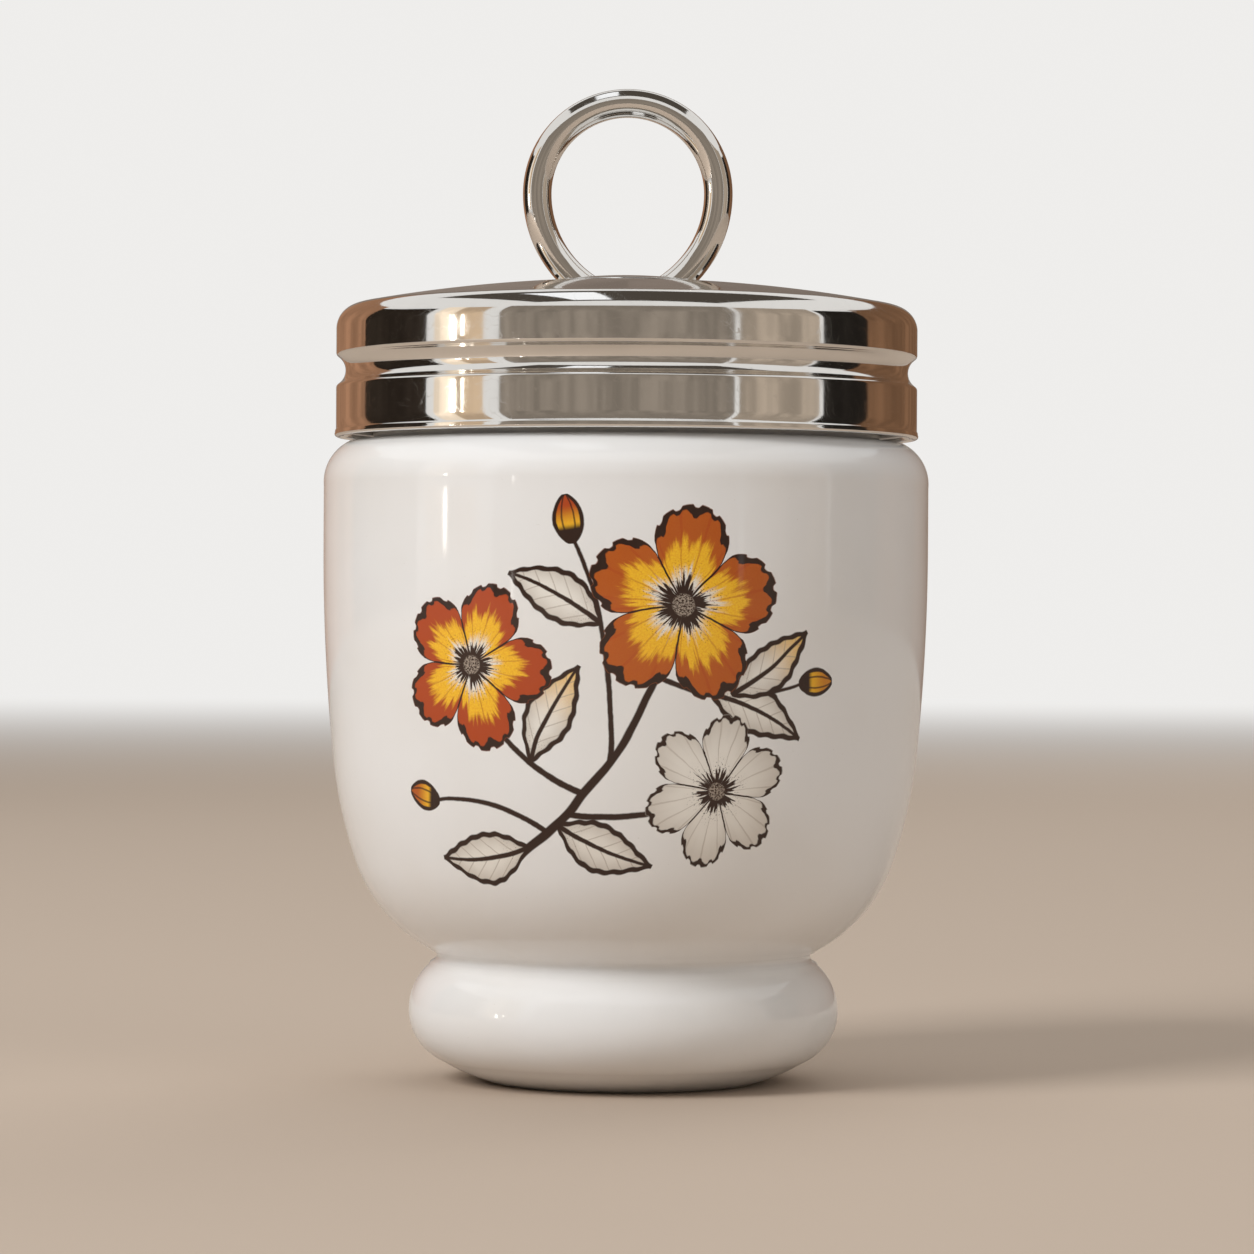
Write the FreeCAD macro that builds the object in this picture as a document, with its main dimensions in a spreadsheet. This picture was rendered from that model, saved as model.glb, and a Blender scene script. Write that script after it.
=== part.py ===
import FreeCAD, Part
import Sketcher
import math
import os
import re

# A porcelain egg coddler: a one-piece glazed cup on a bulging foot, closed by a polished metal
# screw lid that carries a fixed upright lifting ring.
# Millimetres, +Z up, the origin on the cup's axis at the surface that it stands on.

SIZES = {
    # cup, outside
    "foot_ring_bore": 11.5,
    "foot_ring_width": 2.0,
    "foot_low_reach": 5.25,
    "foot_low_height": 2.2,
    "foot_low_radius": 18.7,
    "foot_radius": 22.05,
    "foot_widest_height": 7.3,
    "foot_side_radius": 5.6,
    "foot_top_radius": 6.19,
    "waist_radius": 18.5,
    "waist_height": 12.9,
    "waist_slope": 22.1,
    "belly_low_reach": 8.99,
    "belly_low_rise": 9.4,
    "belly_low_slope": 70.4,
    "belly_low_curve": 15.88,
    "belly_high_inset": 1.1,
    "belly_high_rise": 20.11,
    "belly_high_slope": 84.2,
    "belly_mid_curve": 45.8,
    "belly_side_curve": 215.5,
    "bowl_radius": 31.0,
    "ledge_height": 65.5,
    "shoulder_height": 4.6,
    "shoulder_inset": 2.7,
    "shoulder_curve": 4.6,
    "side_straight": 6.0,
    "neck_setback": 5.0,
    "neck_height": 12.3,
    "rim_rounding": 1.1,
    # cup, inside
    "cup_wall": 3.2,
    "floor_thickness": 4.0,
    "floor_flat_radius": 15.0,
    "floor_corner": 6.0,
    "inner_shoulder": 3.4,
    "inner_neck_corner": 1.0,
    "recess_depth": 11.0,
    "recess_taper": 0.5,
    "recess_corner": 3.0,
    # screw thread of the cup and the lid
    "thread_pitch": 4.0,
    "thread_depth": 0.9,
    "thread_root_width": 1.9,
    "thread_crest_width": 1.2,
    "thread_sink": 0.2,
    "cup_thread_turns": 1.25,
    "lid_thread_turns": 1.1,
    "cup_thread_start": 3.9,
    "thread_gap": 0.3,
    # lid shell, spun from sheet
    "lid_sheet": 0.6,
    "lid_gap": 0.4,
    "groove_height": 6.8,
    "groove_curve": 1.74,
    "groove_depth": 0.95,
    "lid_shoulder_drop": 0.8,
    "lid_shoulder_inset": 2.2,
    "lid_shoulder_rise": 2.45,
    "lid_shoulder_curve": 2.5,
    "dome_rise": 2.6,
    # thread liner and seal
    "liner_wall": 1.95,
    "liner_gap": 0.05,
    "liner_bead_gap": 0.1,
    "liner_lift": 0.5,
    "liner_lip_gap": 0.5,
    "liner_lip_thickness": 0.6,
    "seal_gap": 0.3,
    "seal_thickness": 1.0,
    "seal_width": 4.4,
    "seal_edge": 0.2,
    # boss, its fastening, and the lifting ring
    "boss_radius": 8.5,
    "boss_edge": 0.12,
    "boss_height": 0.55,
    "stud_radius": 2.5,
    "stud_gap": 0.1,
    "stud_end": 0.6,
    "stud_chamfer": 0.4,
    "washer_radius": 6.0,
    "washer_thickness": 0.8,
    "nut_radius": 4.6,
    "nut_thickness": 2.2,
    "wire_radius": 1.47,
    "ring_radius": 9.31,
    "ring_centre_rise": 9.02,
    "ring_leg_curve": 11.6,
    "leg_seat": 0.5,
}

NUT_SIDES = 6
DEGREES = "*1deg"

os.makedirs("parts", exist_ok=True)
doc = FreeCAD.newDocument("EggCoddler")

# The sheet has one row for each driving dimension: its name and its value.
sheet = doc.addObject("Spreadsheet::Sheet", "Sizes")
for row, (alias, value) in enumerate(SIZES.items(), start=1):
    sheet.set("A%d" % row, alias)
    sheet.set("B%d" % row, str(value))
    sheet.setAlias("B%d" % row, alias)
doc.recompute()


def bound(text):
    """An expression written with the sizes' own names, as the document reads it."""
    return re.sub(r"[a-z_]+", lambda m: "Sizes." + m.group() if m.group() in SIZES else m.group(), text)


def value(owner, text):
    """What an expression comes to now."""
    number = owner.evalExpression(bound(text))
    return float(getattr(number, "Value", number))


# Heights and radii that several pieces share, each worked out from the sizes above.
LEDGE = "ledge_height"
RIM = "(ledge_height + neck_height)"
NECK_RADIUS = "(bowl_radius - neck_setback)"
NECK_BORE = "(%s - cup_wall)" % NECK_RADIUS
CUP_FLOOR = "(recess_depth + floor_thickness)"
CUP_THREAD = "(ledge_height + cup_thread_start)"
LID_THREAD = "(ledge_height + cup_thread_start - thread_pitch / 2)"
LINER_BORE = "(%s + thread_depth + thread_gap)" % NECK_RADIUS
LINER_LIP = "(%s + liner_lip_gap)" % NECK_RADIUS
LID_BOTTOM = "(ledge_height + lid_gap)"
LID_INSIDE = "(%s + liner_wall + liner_gap)" % LINER_BORE
LID_RADIUS = "(%s + lid_sheet)" % LID_INSIDE
GROOVE_MIDDLE = "(ledge_height + lid_gap + groove_height)"
LID_SHOULDER = "(ledge_height + neck_height - lid_shoulder_drop)"
DOME_EDGE_RADIUS = "(%s - lid_shoulder_inset)" % LID_RADIUS
DOME_EDGE = "(%s + lid_shoulder_rise)" % LID_SHOULDER
DOME_TOP = "(%s + dome_rise)" % DOME_EDGE
DOME_CURVE = "((%s ^ 2 + dome_rise ^ 2) / (2 * dome_rise))" % DOME_EDGE_RADIUS
DOME_CENTRE = "(%s - %s)" % (DOME_TOP, DOME_CURVE)
LINER_TOP = "(%s - seal_gap)" % RIM
SEAL_TOP = "(%s + seal_thickness)" % RIM
BOSS_TOP = "(%s + boss_height)" % DOME_TOP
RING_CENTRE = "(%s + ring_centre_rise)" % DOME_TOP
LEG_END = "(%s - leg_seat)" % BOSS_TOP


def on_dome(radius, inset="0"):
    """Height of the lid's dome at a radius, or of the surface that lies inset under it."""
    return "(%s + sqrt((%s - %s) ^ 2 - (%s) ^ 2))" % (DOME_CENTRE, DOME_CURVE, inset, radius)


WASHER_TOP = on_dome("washer_radius", "lid_sheet")
NUT_TOP = "(%s - washer_thickness)" % WASHER_TOP
NUT_BOTTOM = "(%s - nut_thickness)" % NUT_TOP
STUD_BOTTOM = "(%s - stud_end)" % NUT_BOTTOM


def new_body(name):
    body = doc.addObject("PartDesign::Body", name)
    body.Label = name
    return body


def new_sketch(body, name, plane):
    sketch = body.newObject("Sketcher::SketchObject", name)
    support = [o for o in body.Origin.OriginFeatures if o.Role == plane][0]
    sketch.AttachmentSupport = (support, [""])
    sketch.MapMode = "FlatFace"
    return sketch


def hold(sketch, kind, refs, text):
    """A named distance or radius that follows an expression."""
    index = sketch.addConstraint(Sketcher.Constraint(kind, *refs, value(sketch, text)))
    name = "held%d" % index
    sketch.renameConstraint(index, name)
    sketch.setExpression("Constraints." + name, bound(text))


def arc_between(start, end, radius, side):
    """An arc from start to end whose centre lies left of the way for side 1, or right for -1."""
    along = end - start
    middle = (start + end) / 2
    left = FreeCAD.Vector(-along.y, along.x, 0).normalize()
    away = math.sqrt(max(radius ** 2 - (along.Length / 2) ** 2, 0))
    centre = middle + left * away * side
    first, last = (start, end) if side > 0 else (end, start)
    angles = [math.atan2((p - centre).y, (p - centre).x) for p in (first, last)]
    circle = Part.Circle(centre, FreeCAD.Vector(0, 0, 1), radius)
    return Part.ArcOfCircle(circle, *angles)


def outline(sketch, corners, closed=True):
    """Lines and arcs through the corners. A corner is (across, up) for a straight line to the
    next one, or (across, up, radius, side) for an arc. Both ends of each edge are tied down."""
    spots = [FreeCAD.Vector(value(sketch, c[0]), value(sketch, c[1]), 0) for c in corners]
    count = len(corners) if closed else len(corners) - 1
    ends = []
    for i in range(count):
        start, end = spots[i], spots[(i + 1) % len(corners)]
        if len(corners[i]) == 2:
            edge = sketch.addGeometry(Part.LineSegment(start, end))
            ends.append((edge, 1, 2))
        else:
            radius, side = corners[i][2:]
            edge = sketch.addGeometry(arc_between(start, end, value(sketch, radius), side))
            ends.append((edge, 1, 2) if side > 0 else (edge, 2, 1))
    for i, (edge, first, last) in enumerate(ends):
        if i or closed:
            before = ends[i - 1]
            sketch.addConstraint(Sketcher.Constraint("Coincident", before[0], before[2], edge, first))
    points = [(edge, first) for edge, first, _ in ends]
    if not closed:
        points.append((ends[-1][0], ends[-1][2]))
    for (edge, point), corner in zip(points, corners):
        across, up = corner[0], corner[1]
        if across == "0":
            sketch.addConstraint(Sketcher.Constraint("PointOnObject", edge, point, -2))
        else:
            hold(sketch, "DistanceX", (-1, 1, edge, point), across)
        if up == "0":
            sketch.addConstraint(Sketcher.Constraint("PointOnObject", edge, point, -1))
        else:
            hold(sketch, "DistanceY", (-1, 1, edge, point), up)
    for i, (edge, _, _) in enumerate(ends):
        if len(corners[i]) > 2:
            hold(sketch, "Radius", (edge,), corners[i][2])


def turned(body, name, corners):
    """A turned or thrown form: the outline, radius across and height up, spun about the axis."""
    sketch = new_sketch(body, name + "_outline", "XZ_Plane")
    outline(sketch, corners)
    spin = body.newObject("PartDesign::Revolution", name + "_turned")
    spin.Profile = sketch
    spin.ReferenceAxis = (sketch, ["V_Axis"])
    doc.recompute()
    return spin


def ridge(body, name, root, crest, height, turns):
    """A screw ridge that climbs from height, from its root radius to its crest radius."""
    root_half, crest_half = "thread_root_width / 2", "thread_crest_width / 2"
    corners = [
        (root, "%s - %s" % (height, root_half)),
        (crest, "%s - %s" % (height, crest_half)),
        (crest, "%s + %s" % (height, crest_half)),
        (root, "%s + %s" % (height, root_half)),
    ]
    sketch = new_sketch(body, name + "_section", "XZ_Plane")
    outline(sketch, corners)
    helix = body.newObject("PartDesign::AdditiveHelix", name)
    helix.Profile = sketch
    helix.ReferenceAxis = (sketch, ["V_Axis"])
    helix.Mode = 0
    helix.setExpression("Pitch", bound("thread_pitch"))
    helix.setExpression("Height", bound("thread_pitch * " + turns))
    doc.recompute()
    return helix


def inside_belly(radius, height, slope):
    """The place on the inner wall that faces a place on the outer one, a wall away."""
    across = "%s - cup_wall * sin(%s%s)" % (radius, slope, DEGREES)
    up = "%s + cup_wall * cos(%s%s)" % (height, slope, DEGREES)
    return across, up


def make_cup():
    waist = ("waist_radius", "waist_height")
    low = ("(waist_radius + belly_low_reach)", "(waist_height + belly_low_rise)")
    high = ("(bowl_radius - belly_high_inset)", "(waist_height + belly_high_rise)")
    side_top = "(ledge_height - shoulder_height)"
    side_low = "(ledge_height - shoulder_height - side_straight)"
    bowl_inside = "(bowl_radius - cup_wall)"
    inner_ceiling = "(ledge_height - cup_wall)"
    ring_edge = "(foot_ring_bore + foot_ring_width)"
    recess_top_radius = "(foot_ring_bore + recess_taper)"
    corners = [
        ("foot_ring_bore", "0"),
        (ring_edge, "0", "foot_low_radius", 1),
        ("%s + foot_low_reach" % ring_edge, "foot_low_height", "foot_side_radius", 1),
        ("foot_radius", "foot_widest_height", "foot_top_radius", 1),
        waist + ("belly_low_curve", 1),
        low + ("belly_mid_curve", 1),
        high + ("belly_side_curve", 1),
        ("bowl_radius", side_low),
        ("bowl_radius", side_top, "shoulder_curve", 1),
        ("bowl_radius - shoulder_inset", LEDGE),
        (NECK_RADIUS, LEDGE),
        (NECK_RADIUS, RIM + " - rim_rounding", "rim_rounding", 1),
        (NECK_RADIUS + " - rim_rounding", RIM),
        (NECK_BORE + " + rim_rounding", RIM, "rim_rounding", 1),
        (NECK_BORE, RIM + " - rim_rounding"),
        (NECK_BORE, inner_ceiling + " + inner_neck_corner", "inner_neck_corner", 1),
        (NECK_BORE + " + inner_neck_corner", inner_ceiling),
        (bowl_inside + " - inner_shoulder", inner_ceiling, "inner_shoulder", -1),
        (bowl_inside, inner_ceiling + " - inner_shoulder"),
        (bowl_inside, side_low, "belly_side_curve - cup_wall", -1),
        inside_belly(*high, "belly_high_slope") + ("belly_mid_curve - cup_wall", -1),
        inside_belly(*low, "belly_low_slope") + ("belly_low_curve - cup_wall", -1),
        inside_belly(*waist, "waist_slope") + ("floor_corner", -1),
        ("floor_flat_radius", CUP_FLOOR),
        ("0", CUP_FLOOR),
        ("0", "recess_depth"),
        (recess_top_radius + " - recess_corner", "recess_depth", "recess_corner", -1),
        (recess_top_radius, "recess_depth - recess_corner"),
    ]
    body = new_body("cup")
    turned(body, "cup", corners)
    ridge(
        body, "cup_thread", NECK_RADIUS + " - thread_sink", NECK_RADIUS + " + thread_depth",
        CUP_THREAD, "cup_thread_turns",
    )
    return body


def groove_half(radius, away):
    """Half the height of the groove where a curve of this radius meets a straight wall."""
    return "sqrt((%s) ^ 2 - (%s) ^ 2)" % (radius, away)


def make_lid_shell():
    hole = "(stud_radius + stud_gap)"
    inner_scale = "((%s - lid_sheet) / %s)" % (DOME_CURVE, DOME_CURVE)
    inner_edge = (
        "%s * %s" % (DOME_EDGE_RADIUS, inner_scale),
        "%s + (%s - %s) * %s" % (DOME_CENTRE, DOME_EDGE, DOME_CENTRE, inner_scale),
    )
    outer_half = groove_half("groove_curve", "groove_curve - groove_depth")
    inner_half = groove_half("groove_curve + lid_sheet", "groove_curve - groove_depth + lid_sheet")
    corners = [
        (LID_INSIDE, LID_BOTTOM),
        (LID_RADIUS, LID_BOTTOM),
        (LID_RADIUS, "%s - %s" % (GROOVE_MIDDLE, outer_half), "groove_curve", -1),
        (LID_RADIUS, "%s + %s" % (GROOVE_MIDDLE, outer_half)),
        (LID_RADIUS, LID_SHOULDER, "lid_shoulder_curve", 1),
        (DOME_EDGE_RADIUS, DOME_EDGE, DOME_CURVE, 1),
        (hole, on_dome(hole)),
        (hole, on_dome(hole, "lid_sheet"), DOME_CURVE + " - lid_sheet", -1),
        inner_edge + ("lid_shoulder_curve - lid_sheet", -1),
        (LID_INSIDE, LID_SHOULDER),
        (LID_INSIDE, "%s + %s" % (GROOVE_MIDDLE, inner_half), "groove_curve + lid_sheet", 1),
        (LID_INSIDE, "%s - %s" % (GROOVE_MIDDLE, inner_half)),
    ]
    body = new_body("lid_shell")
    turned(body, "lid_shell", corners)
    return body


def make_thread_liner():
    outside = "(%s - liner_gap)" % LID_INSIDE
    bead = "groove_curve + lid_sheet + liner_bead_gap"
    away = "groove_curve - groove_depth + lid_sheet + liner_gap"
    half = groove_half(bead, away)
    bottom = "(%s + liner_lift)" % LID_BOTTOM
    lip_under = "%s - liner_lip_thickness" % LINER_TOP
    corners = [
        (LINER_BORE, bottom),
        (outside, bottom),
        (outside, "%s - %s" % (GROOVE_MIDDLE, half), bead, -1),
        (outside, "%s + %s" % (GROOVE_MIDDLE, half)),
        (outside, "%s - liner_gap" % LID_SHOULDER),
        (LINER_BORE + " + seal_gap", "%s - liner_gap" % LID_SHOULDER),
        (LINER_BORE + " + seal_gap", LINER_TOP),
        (LINER_LIP, LINER_TOP),
        (LINER_LIP, lip_under),
        (LINER_BORE, lip_under),
    ]
    body = new_body("thread_liner")
    turned(body, "thread_liner", corners)
    ridge(
        body, "lid_thread", LINER_BORE + " + thread_sink", LINER_BORE + " - thread_depth",
        LID_THREAD, "lid_thread_turns",
    )
    return body


def make_lid_seal():
    inner = "(%s - seal_width)" % LINER_BORE
    corners = [
        (inner, RIM),
        (LINER_BORE, RIM),
        (LINER_BORE, SEAL_TOP + " - seal_edge", "seal_edge", 1),
        (LINER_BORE + " - seal_edge", SEAL_TOP),
        (inner + " + seal_edge", SEAL_TOP, "seal_edge", 1),
        (inner, SEAL_TOP + " - seal_edge"),
    ]
    body = new_body("lid_seal")
    turned(body, "lid_seal", corners)
    return body


def make_lifting_ring():
    """A wire bent to a ring above, whose two legs run in under it to the boss."""
    leg_centre = "(ring_radius - ring_leg_curve)"
    leg_across = "%s + sqrt(ring_leg_curve ^ 2 - (%s - %s) ^ 2)" % (leg_centre, RING_CENTRE, LEG_END)
    body = new_body("lifting_ring")
    path = new_sketch(body, "ring_path", "XZ_Plane")
    corners = [
        ("0", RING_CENTRE + " + ring_radius", "ring_radius", -1),
        ("ring_radius", RING_CENTRE, "ring_leg_curve", -1),
        (leg_across, LEG_END),
    ]
    outline(path, corners, closed=False)
    section = new_sketch(body, "ring_section", "YZ_Plane")
    middle = FreeCAD.Vector(0, value(section, RING_CENTRE + " + ring_radius"), 0)
    wire = Part.Circle(middle, FreeCAD.Vector(0, 0, 1), value(section, "wire_radius"))
    circle = section.addGeometry(wire)
    section.addConstraint(Sketcher.Constraint("PointOnObject", circle, 3, -2))
    hold(section, "DistanceY", (-1, 1, circle, 3), RING_CENTRE + " + ring_radius")
    hold(section, "Radius", (circle,), "wire_radius")
    doc.recompute()
    half = body.newObject("PartDesign::AdditivePipe", "ring_half")
    half.Profile = section
    half.Spine = path
    doc.recompute()
    plane = [o for o in body.Origin.OriginFeatures if o.Role == "YZ_Plane"][0]
    whole = body.newObject("PartDesign::Mirrored", "ring_whole")
    whole.Originals = [half]
    whole.MirrorPlane = (plane, [""])
    body.Tip = whole
    doc.recompute()
    # The legs are cut level, to seat on the floors of the boss's two sockets.
    trim = new_sketch(body, "leg_trim_outline", "XZ_Plane")
    trim_corners = [
        ("0", DOME_EDGE),
        ("boss_radius", DOME_EDGE),
        ("boss_radius", LEG_END),
        ("0", LEG_END),
    ]
    outline(trim, trim_corners)
    cut = body.newObject("PartDesign::Groove", "leg_trim")
    cut.Profile = trim
    cut.ReferenceAxis = (trim, ["V_Axis"])
    body.Tip = cut
    doc.recompute()
    return body


def make_ring_boss(ring):
    """A shallow round boss with a stud below, and a socket for each leg of the ring."""
    edge_top = "(%s + boss_edge)" % on_dome("boss_radius")
    crown = "(%s - %s)" % (BOSS_TOP, edge_top)
    crown_curve = "(boss_radius ^ 2 + %s ^ 2) / (2 * %s)" % (crown, crown)
    corners = [
        ("0", STUD_BOTTOM),
        ("stud_radius - stud_chamfer", STUD_BOTTOM),
        ("stud_radius", STUD_BOTTOM + " + stud_chamfer"),
        ("stud_radius", on_dome("stud_radius"), DOME_CURVE, -1),
        ("boss_radius", on_dome("boss_radius")),
        ("boss_radius", edge_top, crown_curve, 1),
        ("0", BOSS_TOP),
    ]
    blank = new_body("boss_blank")
    turned(blank, "boss_blank", corners)
    boss = doc.addObject("Part::Cut", "ring_boss")
    boss.Base = blank
    boss.Tool = ring
    return boss


def make_washer():
    disc = doc.addObject("Part::Cylinder", "washer_disc")
    hole = doc.addObject("Part::Cylinder", "washer_hole")
    disc.setExpression("Radius", bound("washer_radius"))
    hole.setExpression("Radius", bound("stud_radius + stud_gap"))
    for cylinder in (disc, hole):
        cylinder.setExpression("Height", bound("washer_thickness"))
        cylinder.setExpression("Placement.Base.z", bound(NUT_TOP))
    washer = doc.addObject("Part::Cut", "boss_washer")
    washer.Base = disc
    washer.Tool = hole
    return washer


def make_nut():
    hexagon = doc.addObject("Part::Prism", "nut_hexagon")
    hexagon.Polygon = NUT_SIDES
    hexagon.setExpression("Circumradius", bound("nut_radius"))
    bore = doc.addObject("Part::Cylinder", "nut_bore")
    bore.setExpression("Radius", bound("stud_radius"))
    for solid in (hexagon, bore):
        solid.setExpression("Height", bound("nut_thickness"))
        solid.setExpression("Placement.Base.z", bound(NUT_BOTTOM))
    nut = doc.addObject("Part::Cut", "boss_nut")
    nut.Base = hexagon
    nut.Tool = bore
    return nut


ring = make_lifting_ring()
parts = [
    make_cup(), make_lid_shell(), make_thread_liner(), make_lid_seal(),
    make_ring_boss(ring), ring, make_washer(), make_nut(),
]
doc.recompute()

for thing in doc.Objects:
    bad = {"Invalid", "Error"} & set(thing.State)
    if bad:
        raise RuntimeError("%s is %s" % (thing.Name, ", ".join(bad)))
for part in parts:
    shape = part.Shape
    if shape.isNull() or not shape.isValid() or len(shape.Solids) != 1:
        raise RuntimeError("%s has no single sound solid" % part.Label)

for part in parts:
    part.Shape.exportStep("parts/%s.step" % part.Label)
    box = part.Shape.BoundBox
    print("%-14s %9.1f mm3  r %6.2f  z %6.2f to %6.2f" % (
        part.Label, part.Shape.Volume, box.XMax, box.ZMin, box.ZMax))
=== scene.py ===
# Looks of a porcelain egg coddler with a screw lid: glazed, printed cup, polished metal cap,
# threaded liner, rubber seal, boss and upright lifting ring. Metres, +Z up, front towards -Y.

import math

import bmesh
import bpy
from mathutils import Matrix, Vector


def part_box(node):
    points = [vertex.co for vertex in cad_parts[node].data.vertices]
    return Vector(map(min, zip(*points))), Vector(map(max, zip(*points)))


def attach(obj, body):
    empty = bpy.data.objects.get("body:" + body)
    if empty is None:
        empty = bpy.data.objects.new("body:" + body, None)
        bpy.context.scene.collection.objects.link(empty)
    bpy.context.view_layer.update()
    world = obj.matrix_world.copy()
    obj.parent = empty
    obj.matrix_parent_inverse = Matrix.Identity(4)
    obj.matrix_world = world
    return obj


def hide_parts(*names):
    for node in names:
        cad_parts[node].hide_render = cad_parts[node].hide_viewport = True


MM = 0.001
TURN = 2 * math.pi
UV_NAME = "OFBake"

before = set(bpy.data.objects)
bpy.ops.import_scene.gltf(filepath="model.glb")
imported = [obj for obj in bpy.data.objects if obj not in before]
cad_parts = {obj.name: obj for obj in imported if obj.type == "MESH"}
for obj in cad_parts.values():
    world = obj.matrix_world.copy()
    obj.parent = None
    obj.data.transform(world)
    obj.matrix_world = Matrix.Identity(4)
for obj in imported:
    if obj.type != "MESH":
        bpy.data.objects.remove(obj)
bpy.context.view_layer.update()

# Sizes read from the frame

cup_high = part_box("cup")[1]
shell_low, shell_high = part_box("lid_shell")
liner_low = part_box("thread_liner")[0]
seal_low, seal_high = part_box("lid_seal")
boss_low, boss_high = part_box("ring_boss")
ring_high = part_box("lifting_ring")[1]
washer_low, washer_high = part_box("boss_washer")
nut_low, nut_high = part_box("boss_nut")

RIM = cup_high[2] / MM
BOWL_RADIUS = 31.0
CUP_WALL = 3.2
NECK_SETBACK = 5.0
NECK_HEIGHT = 12.3
NECK_RADIUS = BOWL_RADIUS - NECK_SETBACK
NECK_BORE = NECK_RADIUS - CUP_WALL
LEDGE = RIM - NECK_HEIGHT
LID_RADIUS = shell_high[0] / MM
LID_BOTTOM = shell_low[2] / MM
THREAD_PITCH = 4.0
THREAD_DEPTH = 0.9


# Outlines: lists of (radius, height) in millimetres

def arc(start, end, radius, side):
    """Points from start to end, end left out. The centre lies left of the way for side 1."""
    step = min(0.9, max(0.15, radius * 0.05))
    along = Vector(end) - Vector(start)
    middle = (Vector(end) + Vector(start)) / 2
    left = Vector((-along.y, along.x)).normalized()
    away = math.sqrt(max(radius ** 2 - (along.length / 2) ** 2, 0))
    centre = middle + left * away * side
    first = math.atan2(start[1] - centre.y, start[0] - centre.x)
    last = math.atan2(end[1] - centre.y, end[0] - centre.x)
    sweep = (last - first) % TURN if side > 0 else -((first - last) % TURN)
    count = max(4, math.ceil(abs(sweep) * radius / step))
    turns = [first + sweep * i / count for i in range(count)]
    return [(centre.x + radius * math.cos(a), centre.y + radius * math.sin(a)) for a in turns]


def straight(start, end, step):
    """Points along a straight stretch, end left out."""
    count = max(1, math.ceil(math.dist(start, end) / step))
    return [tuple(Vector(start).lerp(Vector(end), i / count)) for i in range(count)]


def outline(corners, step=1.5, closed=True):
    """Points through corners written as the solid's source writes them: (radius, height) where
    a straight stretch follows, or (radius, height, curve, side) where an arc does."""
    points = []
    last = len(corners) if closed else len(corners) - 1
    for i in range(last):
        here, there = corners[i], corners[(i + 1) % len(corners)]
        if len(here) == 2:
            points += straight(here, there[:2], step)
        else:
            points += arc(here[:2], there[:2], here[2], here[3])
    if not closed:
        points.append(tuple(corners[-1][:2]))
    return points


def eased(points, corner, radius, count=6):
    """The outline with the corner nearest to a place rounded off to a radius."""
    at = min(range(len(points)), key=lambda i: math.dist(points[i], corner))
    tip = Vector(points[at])
    before = (Vector(points[at - 1]) - tip).normalized()
    after = (Vector(points[(at + 1) % len(points)]) - tip).normalized()
    half = before.angle(after) / 2
    reach = radius / math.tan(half)
    start, end = tip + before * reach, tip + after * reach
    keep = [p for i, p in enumerate(points) if i != at and math.dist(p, tip) > reach * 1.02]
    cut = next((i for i, p in enumerate(keep) if points.index(p) > at), len(keep))
    turn = [start * (1 - t) ** 2 + tip * 2 * t * (1 - t) + end * t ** 2
            for t in (j / count for j in range(count + 1))]
    return keep[:cut] + [tuple(p) for p in turn] + keep[cut:]


# Meshes

def new_piece(name, verts, faces, smooth=True, edges=()):
    mesh = bpy.data.meshes.new(name)
    mesh.from_pydata([[c * MM for c in v] for v in verts], edges, faces)
    mesh.update()
    piece = bpy.data.objects.new(name, mesh)
    bpy.context.scene.collection.objects.link(piece)
    if smooth:
        mesh.polygons.foreach_set("use_smooth", [True] * len(mesh.polygons))
    return piece


def turned(name, points, segments=256, swell=None):
    """A closed outline spun about the axis. Points on the axis become poles. swell(angle, radius,
    height) gives a radius that varies round the piece, as on a screw ridge."""
    verts, rings = [], []
    for radius, height in points:
        if radius < 1e-6:
            rings.append([len(verts)])
            verts.append((0, 0, height))
            continue
        ring = []
        for i in range(segments):
            angle = TURN * i / segments
            r = swell(angle, radius, height) if swell else radius
            ring.append(len(verts))
            verts.append((r * math.cos(angle), r * math.sin(angle), height))
        rings.append(ring)
    faces = []
    for a, b in zip(rings, rings[1:] + rings[:1]):
        for i in range(segments):
            j = (i + 1) % segments
            if len(a) == 1 and len(b) == 1:
                break
            if len(a) == 1:
                faces.append((a[0], b[j], b[i]))
            elif len(b) == 1:
                faces.append((a[i], a[j], b[0]))
            else:
                faces.append((a[i], a[j], b[j], b[i]))
    return new_piece(name, verts, faces)


# The cup

def ridge_height(angle, height, start, turns, half_width):
    """How much of its full height a screw ridge has here: round in section, tapered at its ends."""
    most = 0.0
    for lap in range(math.ceil(turns) + 1):
        run = angle / TURN + lap
        if run > turns:
            continue
        off = (height - start - THREAD_PITCH * run) / half_width
        if abs(off) < 1:
            taper = min(1, min(run, turns - run) / 0.07)
            most = max(most, math.sqrt(max(0, taper)) * math.cos(off * math.pi / 2) ** 0.7)
    return most


CUP_THREAD_START = LEDGE + 3.9
CUP_THREAD_TURNS = 1.25
LID_THREAD_TURNS = 1.1
RIDGE_HALF = 1.05


# The cup's profile, foot to rim and back down inside: places as (radius, height), and curves
FOOT_BORE = 11.5
FOOT_RING_EDGE = 13.5
FOOT_LOW = (18.75, 2.2)
FOOT_WIDEST = (22.05, 7.3)
WAIST = (18.5, 12.9)
BELLY_LOW = (27.49, 22.3)
BELLY_HIGH = (29.9, 33.01)
FOOT_LOW_CURVE = 18.7
FOOT_SIDE_CURVE = 5.6
FOOT_TOP_CURVE = 6.19
BELLY_LOW_CURVE = 15.88
BELLY_MID_CURVE = 45.8
BELLY_SIDE_CURVE = 215.5
SIDE_STRAIGHT = 6.0
SHOULDER_HEIGHT = 4.6
SHOULDER_INSET = 2.7
SHOULDER_CURVE = 4.6
RIM_ROUNDING = 1.1
INNER_NECK_CORNER = 1.0
INNER_SHOULDER = 3.4
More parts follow.
